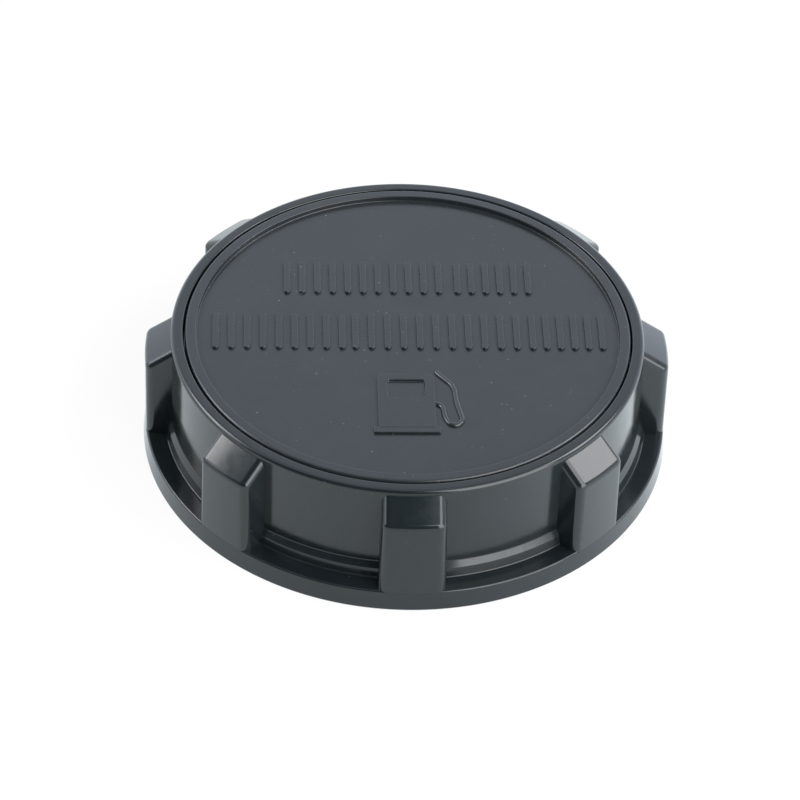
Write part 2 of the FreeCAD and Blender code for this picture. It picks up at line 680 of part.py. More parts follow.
def closure_cup(doc, s):
    """Threaded closure: an upturned cup for the filler neck, with the vent turret in its middle."""
    body = new_body(doc, "closure_cup")
    lip_bottom = s.plate_bottom - s.gasket_lip_height
    groove_roof = s.plate_bottom + s.ring_section
    turned = revolve(body, "closure_turned", [
        (s.thread_radius + s.thread_lead, s.closure_lift),
        (s.closure_outer, s.closure_lift),
        (s.closure_outer, s.plate_bottom),
        (s.plate_radius, s.plate_bottom),
        (s.plate_radius, s.plate_top),
        (s.turret_outer, s.plate_top),
        (s.turret_outer, s.turret_top),
        (s.roof_hole_radius, s.turret_top),
        (s.roof_hole_radius, s.roof_bottom),
        (s.turret_bore, s.roof_bottom),
        (s.turret_bore, s.plate_bottom),
        (s.ring_groove_inner, s.plate_bottom),
        (s.ring_groove_inner, groove_roof),
        (s.ring_groove_outer, groove_roof),
        (s.ring_groove_outer, s.plate_bottom),
        (s.gasket_lip_inner, s.plate_bottom),
        (s.gasket_lip_inner, lip_bottom),
        (s.gasket_lip_outer, lip_bottom),
        (s.gasket_lip_outer, s.plate_bottom),
        (s.gasket_outer, s.plate_bottom),
        (s.gasket_outer, s.gasket_seat),
        (s.thread_radius, s.gasket_seat),
        (s.thread_radius, s.closure_lift + s.thread_lead),
    ])
    doc.recompute()
    mouth_edge = [(s.closure_outer, s.closure_lift)]
    round_rings(body, "mouth_edge", turned, mouth_edge, s.mouth_round)

    half = s.window_width / 2
    top = s.window_bottom + s.window_height
    window_sketch = new_sketch(body, "window_outline", "YZ_Plane")
    draw_outline(window_sketch, rectangle(-half, half, s.window_bottom, top))
    reach = s.turret_outer + OVERRUN
    window = extrude(body, "Pocket", "window", window_sketch, reach, backwards=True)
    around(body, "windows", [window], s.window_count)

    guide_corners = rectangle(
        s.guide_inner, s.turret_bore + BURIED, s.seal_bottom, s.roof_bottom + BURIED)
    guide_sketch = section(body, "guide_section", guide_corners, "YZ_Plane")
    guide = extrude(body, "Pad", "guide", guide_sketch, s.guide_width, both_ways=True)
    around(body, "guides", [guide], s.guide_count)

    rib_inner = s.seat_flange_radius + s.stiffener_gap
    rib_sketch = section(body, "stiffener_section", rectangle(
        rib_inner, s.gasket_lip_inner + BURIED,
        s.plate_bottom - s.stiffener_height, s.plate_bottom + BURIED))
    rib = extrude(body, "Pad", "stiffener", rib_sketch, s.stiffener_width, both_ways=True)
    around(body, "stiffeners", [rib], s.stiffener_count)

    key_sketch = section(body, "key_section", rectangle(
        s.key_inner, s.key_outer, s.plate_top - BURIED, s.ratchet_top))
    key = extrude(body, "Pad", "key", key_sketch, s.key_width, both_ways=True)
    around(body, "keys", [key], s.arm_count)
    return body


def neck_gasket(doc, s):
    """Flat rubber ring that the filler neck presses on."""
    body = new_body(doc, "neck_gasket")
    revolve(body, "gasket_turned",
            rectangle(s.gasket_inner, s.gasket_outer, s.gasket_bottom, s.plate_bottom))
    return body


def ratchet_ring(doc, s):
    """Ring of curved pawl arms, keyed to the closure; the arm tips click over the shell's teeth."""
    body = new_body(doc, "ratchet_ring")
    bottom = s.plate_top
    top = s.ratchet_top
    overlap = s.arm_thickness / 2
    arm_angle = s.arm_teeth * 360 / s.tooth_count - s.pawl_side_angle
    band = rectangle(s.ratchet_inner, s.ratchet_outer, bottom, top)
    revolve(body, "band", band)

    notch_corners = rectangle(
        s.ratchet_inner - OVERRUN, s.ratchet_inner + s.key_reach,
        bottom - OVERRUN, top + OVERRUN)
    notch_sketch = section(body, "notch_section", notch_corners)
    notch_width = s.key_width + s.fit_gap * 2
    notch = extrude(body, "Pocket", "notch", notch_sketch, notch_width, both_ways=True)
    around(body, "notches", [notch], s.arm_count)

    root_corners = rectangle(s.ratchet_outer - overlap, s.arm_outer, bottom, top)
    root = revolve(body, "root", root_corners, s.root_angle)
    arm_corners = rectangle(s.arm_inner, s.arm_outer, bottom, top)
    arm = revolve(body, "arm", arm_corners, arm_angle, backwards=True)
    tip_sketch = new_sketch(body, "tip_outline", "XY_Plane", bottom)
    slope_end = arm_angle - s.tooth_span
    draw_outline(tip_sketch, [
        polar(s.arm_outer - overlap, -arm_angle),
        polar(s.inner_wall_radius - s.pawl_gap, -arm_angle),
        polar(s.tooth_tip - s.pawl_gap, -slope_end),
        polar(s.arm_outer - overlap, -slope_end),
    ])
    tip = extrude(body, "Pad", "tip", tip_sketch, s.ratchet_height)
    around(body, "pawls", [root, arm, tip], s.arm_count)
    return body


def vent_filter(doc, s):
    """Foam ring round the vent turret's windows."""
    body = new_body(doc, "vent_filter")
    inner = s.turret_outer + s.fit_gap
    revolve(body, "filter_turned", rectangle(
        inner, inner + s.filter_width, s.plate_top, s.filter_top))
    return body


def valve_seat(doc, s):
    """Flanged seat welded into the turret from below, with a raised lip for the relief seal."""
    body = new_body(doc, "valve_seat")
    spigot = s.turret_bore - s.fit_gap
    lip_outer = s.seat_lip_inner + s.seat_lip_width
    revolve(body, "seat_turned", [
        (s.seat_hole_radius, s.seat_flange_bottom),
        (s.seat_flange_radius, s.seat_flange_bottom),
        (s.seat_flange_radius, s.plate_bottom),
        (spigot, s.plate_bottom),
        (spigot, s.seat_floor_top),
        (lip_outer, s.seat_floor_top),
        (lip_outer, s.seal_bottom),
        (s.seat_lip_inner, s.seal_bottom),
        (s.seat_lip_inner, s.seat_floor_top),
        (s.seat_hole_radius, s.seat_floor_top),
    ])
    return body


def seat_seal_ring(doc, s):
    """Rubber ring in the groove between the closure plate and the valve seat's flange."""
    ring = doc.addObject("Part::Torus", "seat_seal_ring")
    ring.Label = "seat_seal_ring"
    section_radius = s.ring_section / 2
    ring.setExpression("Radius1", (s.ring_inner + section_radius).formula)
    ring.setExpression("Radius2", section_radius.formula)
    ring.setExpression("Placement.Base.z", (s.plate_bottom + section_radius).formula)
    return ring


def splash_baffle(doc, s):
    """Disc on short posts that keeps surging fuel off the valves."""
    body = new_body(doc, "splash_baffle")
    revolve(body, "baffle_turned", rectangle(
        0, s.baffle_radius, s.baffle_bottom, s.baffle_top))
    sketch = new_sketch(body, "post_outline", "XY_Plane", s.baffle_bottom)
    post_circle = s.baffle_radius - s.baffle_post_inset
    draw_circle(sketch, post_circle, 0, s.baffle_post_radius)
    post = extrude(body, "Pad", "post", sketch, s.seat_flange_bottom - s.baffle_bottom)
    around(body, "posts", [post], s.baffle_post_count)
    return body


def relief_plunger(doc, s):
    """Disc that lifts off the valve seat, with a hub that guides the vacuum valve's stem."""
    body = new_body(doc, "relief_plunger")
    revolve(body, "plunger_turned", [
        (s.stem_hole, s.plunger_bottom),
        (s.plunger_radius, s.plunger_bottom),
        (s.plunger_radius, s.plunger_top),
        (s.hub_radius, s.plunger_top),
        (s.hub_radius, s.hub_top),
        (s.hub_bore, s.hub_top),
        (s.hub_bore, s.hub_bore_floor),
        (s.stem_hole, s.hub_bore_floor),
    ])
    sketch = new_sketch(body, "air_hole_outline", "XY_Plane", s.hub_bore_floor)
    air_hole_circle = (s.stem_hole + s.hub_bore) / 2
    draw_circle(sketch, air_hole_circle, 0, s.air_hole_radius)
    hole = extrude(body, "Pocket", "air_hole", sketch, s.hub_floor + OVERRUN)
    around(body, "air_holes", [hole], s.air_hole_count)
    return body


def relief_seal(doc, s):
    """Rubber washer under the relief plunger."""
    body = new_body(doc, "relief_seal")
    revolve(body, "seal_turned", rectangle(
        s.seal_hole_radius, s.seal_radius, s.seal_bottom, s.plunger_bottom))
    return body


def vacuum_valve(doc, s):
    """Mushroom valve drawn up against the relief seal; its stem ends in a snap head."""
    body = new_body(doc, "vacuum_valve")
    snap_radius = s.stem_radius + s.stem_snap_reach
    revolve(body, "valve_turned", [
        (0, s.head_bottom),
        (s.head_radius, s.head_bottom),
        (s.head_radius, s.seal_bottom),
        (s.stem_radius, s.seal_bottom),
        (s.stem_radius, s.retainer_top),
        (snap_radius, s.retainer_top),
        (s.stem_radius, s.stem_top),
        (0, s.stem_top),
    ])
    return body


def vacuum_retainer(doc, s):
    """Washer snapped under the head at the end of the vacuum valve's stem."""
    body = new_body(doc, "vacuum_retainer")
    revolve(body, "retainer_turned", rectangle(
        s.stem_hole, s.retainer_radius, s.retainer_bottom, s.retainer_top))
    return body


def coil_spring(doc, name, coil_radius, wire, turns, bottom, top):
    """Compression spring of round wire that just fills the height between its two seats."""
    body = new_body(doc, name)
    sketch = new_sketch(body, f"{name}_wire", "XZ_Plane")
    draw_circle(sketch, coil_radius, bottom + wire / 2, wire / 2)
    helix = body.newObject("PartDesign::AdditiveHelix", f"{name}_coil")
    helix.Profile = sketch
    helix.ReferenceAxis = (sketch, ["V_Axis"])
    helix.Mode = "height-turns-angle"
    helix.setExpression("Height", (top - bottom - wire).formula)
    helix.setExpression("Turns", turns.formula)
    return body


def relief_spring(doc, s):
    """Spring between the turret's roof and the relief plunger."""
    return coil_spring(doc, "relief_spring", s.relief_coil_radius, s.relief_wire,
                       s.relief_turns, s.plunger_top, s.roof_bottom)


def vacuum_spring(doc, s):
    """Spring between the plunger's hub and the retainer on the vacuum valve's stem."""
    return coil_spring(doc, "vacuum_spring", s.vacuum_coil_radius, s.vacuum_wire,
                       s.vacuum_turns, s.hub_bore_floor, s.retainer_bottom)


PIECES = [
    grip_shell, top_cover, closure_cup, neck_gasket, ratchet_ring, vent_filter, valve_seat,
    seat_seal_ring, splash_baffle, relief_spring, relief_plunger, relief_seal, vacuum_spring,
    vacuum_valve, vacuum_retainer,
]


def check_document(doc, pieces):
    """Stop if any step failed, or if a piece is not one sound solid."""
    for obj in doc.Objects:
        if "Invalid" in obj.State or "Error" in obj.State:
            raise RuntimeError(f"{obj.Label} failed: {obj.State}")
    for piece in pieces:
        shape = piece.Shape
        if shape.isNull() or not shape.isValid() or len(shape.Solids) != 1:
            raise RuntimeError(f"{piece.Label} is not one sound solid")


def main():
    doc = FreeCAD.newDocument("fuel_filler_cap")
    sizes = Sizes(make_sheet(doc))
    pieces = [make(doc, sizes) for make in PIECES]
    doc.recompute()
    check_document(doc, pieces)
    os.makedirs("parts", exist_ok=True)
    for piece in pieces:
        piece.Shape.exportStep(os.path.join("parts", f"{piece.Label}.step"))
        box = piece.Shape.BoundBox
        print(f"{piece.Label}: {piece.Shape.Volume:.1f} mm3, z {box.ZMin:.2f} to {box.ZMax:.2f}")


main()
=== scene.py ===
"""Looks of the fuel filler cap: fine shell and cover, relief, thread, springs, finishes, studio.

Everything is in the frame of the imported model: +Z up from the cap's mouth to its flat top, with
one lug along -Y. Sizes of the cap are in millimetres and become metres where a mesh is made.
Those of the studio are in metres, and its angles in degrees.
"""
import math

import bpy
from mathutils import Matrix, Vector


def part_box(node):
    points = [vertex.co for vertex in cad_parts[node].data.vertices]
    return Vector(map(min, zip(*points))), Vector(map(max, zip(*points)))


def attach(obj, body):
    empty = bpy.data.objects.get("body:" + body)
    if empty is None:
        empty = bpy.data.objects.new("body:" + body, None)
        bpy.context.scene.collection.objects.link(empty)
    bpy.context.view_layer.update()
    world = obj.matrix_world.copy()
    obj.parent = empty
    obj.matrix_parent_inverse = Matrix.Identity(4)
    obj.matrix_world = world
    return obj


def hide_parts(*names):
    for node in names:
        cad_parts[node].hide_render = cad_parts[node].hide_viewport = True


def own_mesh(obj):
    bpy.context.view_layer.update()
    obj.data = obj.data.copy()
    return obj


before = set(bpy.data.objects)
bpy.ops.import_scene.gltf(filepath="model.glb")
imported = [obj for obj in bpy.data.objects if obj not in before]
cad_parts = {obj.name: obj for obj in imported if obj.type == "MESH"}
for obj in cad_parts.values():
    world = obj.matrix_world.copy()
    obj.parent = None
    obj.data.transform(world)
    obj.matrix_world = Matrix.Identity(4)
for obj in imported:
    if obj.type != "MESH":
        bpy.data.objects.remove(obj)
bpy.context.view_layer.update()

MM = 0.001
FULL_TURN = 2 * math.pi

# Fineness: steps of a full turn, largest step of a round, steps in one turn of a spring
TURN_STEPS = 384
ARC_STEP = math.radians(10)
COIL_STEPS = 48
CUTTER_REACH = 1.0  # how far a cutter stands past the faces that it cuts

# Grip shell: radii from the axis and heights above the base, as the CAD has them
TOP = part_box("grip_shell")[1].z / MM
RIM_RADIUS = 45.15
RIM_WIDTH = 2.35
RECESS_RADIUS = RIM_RADIUS - RIM_WIDTH
WALL_FOOT_RADIUS = 45.3
CREASE_LEVEL = 7.35
SHOULDER_RADIUS = 46.05
SHOULDER_LEVEL = 6.05
STEP_FOOT_RADIUS = 46.47
FLANGE_HEIGHT = 4.25
FACE_RADIUS = 50.15
FACE_TOP_RADIUS = 50.05
SKIRT_RADIUS = 50.55
GROOVE_INNER = 45.2
GROOVE_OUTER = 48.45
GROOVE_DEPTH = 1.8
MOUTH_RADIUS = 42.8
INNER_WALL_RADIUS = 42.2
WEB_BOTTOM = 19.8
WEB_TOP = 22.1
WEB_HOLE_RADIUS = 14.5
BEARING_RIB_INNER = 25.65
BEARING_RIB_OUTER = 27.25
BEARING_RIB_BOTTOM = 15.3
BEAD_TOP = 12.3
BEAD_MIDDLE = 11.65
BEAD_BOTTOM = 10.35
BEAD_RADIUS = 41.28

# Rounds of the shell's and the cover's edges
RIM_ROUND = 0.9
COVER_ROUND = 0.6
CREASE_ROUND = 0.5
FLANGE_ROUND = 0.4
EDGE_ROUND = 0.3
STEP_FOOT_ROUND = 0.25
FINE_ROUND = 0.2
BEAD_ROUND = 0.15

# Lugs
LUG_COUNT = 8
LUG_CORNER = TOP - 4.6
LUG_ROOT_LEVEL = TOP - 1.1
LUG_FOOT_HALF = 6.3
LUG_CORNER_HALF = 6.0
LUG_ROUND = 1.4
LUG_ROUND_STEPS = 8
LUG_WALL = 2.3
CORE_INNER = 45.8
CORE_OUTER = 47.77
CORE_TOP = LUG_CORNER - 3.2

# Ratchet teeth inside the shell
TOOTH_COUNT = 36
TOOTH_TIP = 40.9
TOOTH_ROOT = 42.6
TOOTH_SPAN = math.radians(8.5)
TOOTH_SUNK = 0.4  # into the web

# Cover, its prongs and the web's slots for them
GAP_TRIM = 0.17  # the gap round the cover reads finer in the photograph
COVER_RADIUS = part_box("top_cover")[1].x / MM + GAP_TRIM
COVER_SHIFT = Vector((0.06, 0.2, 0))  # it sits against the back of its recess
BAND_INNER = COVER_RADIUS - 2.15
FIELD_LEVEL = TOP - 1.1
COVER_PLATE_BOTTOM = WEB_TOP + 0.2
FOOT_RING_INNER = COVER_RADIUS - 3.4
PRONG_COUNT = 4
PRONG_INNER = 19.5
PRONG_OUTER = 20.9
PRONG_TOP = FIELD_LEVEL - 0.8
PRONG_HALF_WIDTH = 3.0
HOOK_OUTER = 21.7
HOOK_TOP = 19.6
HOOK_MIDDLE = 19.1
HOOK_BOTTOM = 18.1
SLOT_PLAY = 0.2

# Relief on the cover: rows of plain ribs and a pump sign
RELIEF_TOP = FIELD_LEVEL + 0.5
RELIEF_FOOT = FIELD_LEVEL - 0.4
RELIEF_ROUND = 0.16
RAISED_RIB_WIDTH = 1.3
RAISED_RIB_PITCH = 2.95
RAISED_RIB_END = 0.98  # how much of the half width an end's corners are rounded by
RAISED_RIB_ROWS = [
    # lower end, upper end, then the left and right end of each group
    (11.7, 20.8, [(-23.6, 7.0), (9.3, 24.3)]),
    (-4.6, 5.4, [(-37.3, -11.9), (-10.7, 21.4), (23.1, 37.7)]),
]
# Left, lower, right and upper end, then the rounds of the lower and the upper corners
PUMP_BODY = (-6.2, -27.2, 4.6, -12.0, 0.3, 1.3)
PUMP_WINDOW = (-4.3, -18.7, 2.7, -13.7, 0.5, 0.5)
PUMP_WINDOW_SKIN = 0.02  # left on the field under the window
PUMP_FOOT = (-7.1, -28.4, 5.4, -26.8, 0.3, 0.3)
PUMP_HOSE = [(4.2, -20.0), (6.0, -20.2), (6.2, -24.2), (7.6, -26.4), (9.7, -25.2),
             (9.0, -22.0), (8.4, -18.8), (8.3, -15.2), (6.0, -12.6), (5.0, -11.2)]
PUMP_HOSE_RADIUS = 0.55
PUMP_HOSE_STEPS = 12

# Neck thread in the closure, right-handed
THREAD_ROOT = 38.0
THREAD_DEPTH = 1.1
THREAD_PITCH = 5.0
THREAD_START = 3.5
THREAD_TURNS = 1.15
THREAD_FADE = 0.07  # share of its length in which each end fades out
THREAD_SUNK = 0.15
THREAD_FOOT_HALF = 1.2
THREAD_CREST_HALF = 0.45
THREAD_ROUND = 0.18

# Springs: wire and turns, and the steps round the wire
RELIEF_WIRE = 0.8
RELIEF_TURNS = 2.5
VACUUM_WIRE = 0.3
VACUUM_TURNS = 4.0
SPRING_WIRE_STEPS = 2

# Dust on the plastic, and the mark that the mould's gate left in the cover
DUST_SPACING = 1.5
GATE_MARK = Vector((1.2, 7.7, 23.9))
GATE_MARK_REACH = 5.0
GATE_MARK_DEPTH = 0.03

# Camera at the photograph's place
CAMERA_AZIMUTH = -3.05
CAMERA_ELEVATION = 41.7
CAMERA_ROLL = 2.25
CAMERA_DISTANCE = 0.757
CAMERA_LENS = 178.0
SENSOR_WIDTH = 36.0
CAMERA_TARGET = Vector((-1.187, -5.994, 12.4)) * MM
CAMERA_NUDGE = 0.096 * MM  # half a pixel up and to the left

# Soft boxes: name, azimuth and elevation, distance, width and height, watts
SOFT_BOXES = [
    ("right_soft_box", 6, 44, 1.1, (0.5, 0.5), 5.5),
    ("left_soft_box", 161, 41, 1.15, (0.45, 0.45), 4.6),
    ("front_right_panel", -48, 34, 1.1, (0.85, 1.05), 12.5),
]

# Room as the cap mirrors it, in soft steps (see soft_steps). X, Y and Z are a direction's own,
# with Z from 0 at eye level to 1 overhead, and turn is its angle from +X towards +Y
WALL_LEVEL = 1.0
BACK_WALL = [("Y", 0.2, 0.6), ("Z", 0.73, 0.60, 1.0, 1.55)]
LOW_GLOWS = [
    [("X", 0.2, 0.6), ("Z", 0.5, 0.2, 0.0, 0.45)],
    [("X", -0.65, -0.85), ("Z", 0.12, 0.32), ("Z", 0.68, 0.5, 0.0, 2.2)],
    [("Y", 0.2, 0.6), ("Z", 0.5, 0.2, 0.0, 0.35)],
]
DARK_HEIGHT = [("Z", 0.08, 0.18), ("Z", 0.99, 0.94)]
DARK_WIDTH = [("turn", math.radians(-178), math.radians(-160)),
              ("turn", math.radians(-70), math.radians(-77))]
DARK_DEPTH = [("dark", 0.0, 1.0, 1.0, 0.03)]
FILL = [("Z", 0.0, 1.0, 0.3, 0.62)]

# Paper: the painted light on it, brighter on the right under the soft boxes, as the cap's sides
# mirror it, then how much of that painted light and of plain white the reflections and the camera
# get
PAPER_PAINTED_LIGHT = [[("X", 0.0, 0.09, 1.12, 2.1)], [("X", -0.09, 0.0, 0.3, 0.0)],
               [("Y", 0.04, 0.16, 0.0, 0.35)]]
PAPER_MIRRORED = 0.85
PAPER_SEEN = 0.9
PAPER_SIZE = 12.0
PAPER_DROP = 0.02 * MM


def srgb(code):
    """Linear colour of an sRGB hex code."""
    channels = [int(code[i:i + 2], 16) / 255 for i in (1, 3, 5)]
    linear = [c / 12.92 if c <= 0.04045 else ((c + 0.055) / 1.055) ** 2.4 for c in channels]
    return (*linear, 1.0)


def add(tree, kind, inputs=None, **settings):
    """Add a node, set its own settings, and give each input a value or a link. A node given as
    a value stands for the first of its outputs that is in use."""
    node = tree.nodes.new(kind)
    for name, value in settings.items():
        setattr(node, name, value)
    for name, value in (inputs or {}).items():
        socket = node.inputs[name]
        if isinstance(value, bpy.types.Node):
            value = next(output for output in value.outputs if output.enabled)
        if isinstance(value, bpy.types.NodeSocket):
            tree.links.new(value, socket)
        else:
            socket.default_value = value
    return node


# Modelling

def work_on(*pieces):
    """Select these pieces alone; the first is the active one."""
    bpy.ops.object.select_all(action="DESELECT")
    for piece in pieces:
        piece.select_set(True)
    bpy.context.view_layer.objects.active = pieces[0]


def edit(piece, *steps):
    """Run steps in edit mode, each with the whole mesh selected first."""
    work_on(piece)
    bpy.ops.object.mode_set(mode="EDIT")
    for step in steps:
        bpy.ops.mesh.select_all(action="SELECT")
        step()
    bpy.ops.object.mode_set(mode="OBJECT")


def face_outwards():
    bpy.ops.mesh.normals_make_consistent(inside=False)


def new_piece(name, points, edges=(), faces=()):
    """A mesh object from points in millimetres."""
    mesh = bpy.data.meshes.new(name)
    mesh.from_pydata([Vector(p) * MM for p in points], edges, faces)
    piece = bpy.data.objects.new(name, mesh)
    bpy.context.scene.collection.objects.link(piece)
    return piece


def apply_modifier(piece, kind, **settings):
    work_on(piece)
    modifier = piece.modifiers.new(kind.lower(), kind)
    for name, value in settings.items():
        setattr(modifier, name, value)
    bpy.ops.object.modifier_apply(modifier=modifier.name)


def join(piece, *others):
    work_on(piece, *others)
    bpy.ops.object.join()
    return piece


def cut(piece, cutter):
    """Cut one closed piece out of another, and delete the cutter."""
    apply_modifier(piece, "BOOLEAN", operation="DIFFERENCE", solver="EXACT", object=cutter)
    bpy.data.objects.remove(cutter)


def copies_around(piece, count):
    """The piece and its copies at even turns about the axis, joined."""
    twins = []
    for i in range(1, count):
        twin = piece.copy()
        twin.data = piece.data.copy()
        twin.data.transform(Matrix.Rotation(FULL_TURN * i / count, 4, "Z"))
        bpy.context.scene.collection.objects.link(twin)
        twins.append(twin)
    return join(piece, *twins)


def rounded(corners):
    """Corners (x, y) or (x, y, radius) with each radius drawn as a fine arc."""
    points = []
    for i, (x, y, *rest) in enumerate(corners):
        here = Vector((x, y))
        if not rest:
            points.append(here)
            continue
        radius = rest[0]
        back = (Vector(corners[i - 1][:2]) - here).normalized()
        onward = (Vector(corners[(i + 1) % len(corners)][:2]) - here).normalized()
        half = back.angle(onward) / 2
        middle = here + (back + onward).normalized() * radius / math.sin(half)
        start = here + back * radius / math.tan(half) - middle
        end = here + onward * radius / math.tan(half) - middle
        turn = math.atan2(start.cross(end), start.dot(end))
        steps = max(2, math.ceil(abs(turn) / ARC_STEP))
        for k in range(steps + 1):
            points.append(middle + Matrix.Rotation(turn * k / steps, 2) @ start)
    return points


def rounded_box(left, low, right, high, low_round, high_round):
    """Plan outline of a box with rounded corners."""
    return rounded([(left, low, low_round), (right, low, low_round),
                    (right, high, high_round), (left, high, high_round)])


def turned(name, corners, closed=True):
    """A piece turned about the axis from its half section (radius, height, rounding)."""
    points = [(p.x, 0, p.y) for p in rounded(corners)]
    edges = [(i, i + 1) for i in range(len(points) - 1)]
    if closed:
        edges.append((len(points) - 1, 0))
    piece = new_piece(name, points, edges)
    edit(piece,
         lambda: bpy.ops.mesh.spin(steps=TURN_STEPS, angle=FULL_TURN, center=(0, 0, 0),
                                   axis=(0, 0, 1)),
         lambda: bpy.ops.mesh.remove_doubles(threshold=0.0005 * MM),
         face_outwards)
    return piece


def prism(name, points):
    """A closed block between two matching outlines, whose points follow each other."""
    count = len(points) // 2
    faces = [tuple(range(count)), tuple(range(count, 2 * count))]
    faces += [(i, (i + 1) % count, (i + 1) % count + count, i + count) for i in range(count)]
    piece = new_piece(name, points, faces=faces)
    edit(piece, face_outwards)
    return piece


def across_block(name, section, half_width):
    """A block with this section (x, height), reaching half_width(height) to each side in Y."""
    return prism(name, [(x, side * half_width(z), z) for side in (-1, 1) for x, z in section])


def upright_plate(name, outline, bottom, top):
    """A plate with this plan outline between two levels."""
    return prism(name, [(x, y, z) for z in (bottom, top) for x, y in outline])


def tube(name, route, radius, resolution):
    """A round rod along a smooth route of points."""
    curve = bpy.data.curves.new(name, "CURVE")
    curve.dimensions = "3D"
    curve.bevel_depth = radius * MM
    curve.bevel_resolution = 5
    curve.use_fill_caps = True
    spline = curve.splines.new("NURBS")
    spline.points.add(len(route) - 1)
    for point, place in zip(spline.points, route):
        point.co = (*(Vector(place) * MM), 1)
    spline.order_u = 3
    spline.resolution_u = resolution
    spline.use_endpoint_u = True
    piece = bpy.data.objects.new(name, curve)
    bpy.context.scene.collection.objects.link(piece)
    work_on(piece)
    bpy.ops.object.convert(target="MESH")
    return piece


def bend_to_radius(piece, reach, step=0.6):
    """Turn X into the distance from the axis, so that faces across the lug become round."""
    count = int(reach / step)
    stations = [step * MM * i for i in range(-count, count + 1)]
    edit(piece, *[lambda y=y: bpy.ops.mesh.bisect(plane_co=(0, y, 0), plane_no=(0, 1, 0))
                  for y in stations])
    for vertex in piece.data.vertices:
        vertex.co.x = math.sqrt(vertex.co.x ** 2 - vertex.co.y ** 2)


def smooth_faces(piece, angle=32):
    """Smooth shading up to an angle, with large faces kept flat beside small rounds."""
    work_on(piece)
    bpy.ops.object.shade_smooth_by_angle(angle=math.radians(angle))
    apply_modifier(piece, "WEIGHTED_NORMAL", keep_sharp=True, weight=60)


def finish_piece(piece, material, body):
    piece.data.materials.clear()
    piece.data.materials.append(material)
    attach(piece, body)


# Grip shell

def lug_half_width(level):
    """Half of a lug's width at a height: its sides draw in a little towards the top."""
    share = (level - FLANGE_HEIGHT) / (LUG_CORNER - FLANGE_HEIGHT)
    return LUG_FOOT_HALF - (LUG_FOOT_HALF - LUG_CORNER_HALF) * share


def lug_core():
    """The hollow under a lug, open at the base."""
    core = across_block("lug_core", [
        (CORE_INNER, -CUTTER_REACH), (CORE_OUTER, -CUTTER_REACH),
        (CORE_OUTER, CORE_TOP), (CORE_INNER, CORE_TOP),
    ], lambda z: lug_half_width(z) - LUG_WALL)
    bend_to_radius(core, LUG_CORNER_HALF - LUG_WALL, step=0.8)
    return core


def hollow_lug():
    """One lug along +X, rooted in the wall, with rounded sides and top corner."""
    root = RIM_RADIUS - RIM_WIDTH / 2
    bottom = FLANGE_HEIGHT / 2
    slope = (LUG_ROOT_LEVEL - LUG_CORNER) / (FACE_TOP_RADIUS - RIM_RADIUS)
    lug = across_block("lug", [
        (root, bottom), (FACE_RADIUS, bottom), (FACE_TOP_RADIUS, LUG_CORNER),
        (root, LUG_ROOT_LEVEL + slope * (RIM_RADIUS - root)),
    ], lug_half_width)
    # The bevel's width is its reach from the edge, and the blunt corner needs less of it
    corner_turn = math.pi / 2 - math.atan(slope)
    weights = lug.data.attributes.new("bevel_weight_edge", "FLOAT", "EDGE")
    for edge in lug.data.edges:
        a, b = (lug.data.vertices[i].co / MM for i in edge.vertices)
        middle = (a + b) / 2
        if middle.x > SHOULDER_RADIUS and middle.z > FLANGE_HEIGHT:
            across = abs(a.y - b.y) > LUG_CORNER_HALF
            weights.data[edge.index].value = math.tan(corner_turn / 2) if across else 1.0
    apply_modifier(lug, "BEVEL", limit_method="WEIGHT", width=LUG_ROUND * MM,
                   segments=LUG_ROUND_STEPS)
    bend_to_radius(lug, LUG_CORNER_HALF - LUG_ROUND)
    cut(lug, lug_core())
    return lug


def ratchet_tooth():
    """One saw tooth: a steep face on the axis' X side and a slope behind it."""
    outline = [(TOOTH_ROOT, 0), (TOOTH_TIP, 0),
               (TOOTH_ROOT * math.cos(TOOTH_SPAN), -TOOTH_ROOT * math.sin(TOOTH_SPAN))]
    return upright_plate("ratchet_tooth", outline, BEARING_RIB_BOTTOM, WEB_BOTTOM + TOOTH_SUNK)


def inner_wall(level):
    """Radius of the wall's inside, which widens towards the mouth."""
    return MOUTH_RADIUS - (MOUTH_RADIUS - INNER_WALL_RADIUS) * level / WEB_BOTTOM


def prong_slot():
    """Cutter for one slot in the web, with play all round a prong's hook."""
    inner, outer = PRONG_INNER - SLOT_PLAY, HOOK_OUTER + SLOT_PLAY
    low, high = WEB_BOTTOM - CUTTER_REACH, WEB_TOP + CUTTER_REACH
    return across_block("prong_slot", [(inner, low), (outer, low), (outer, high), (inner, high)],
                        lambda z: PRONG_HALF_WIDTH + SLOT_PLAY)


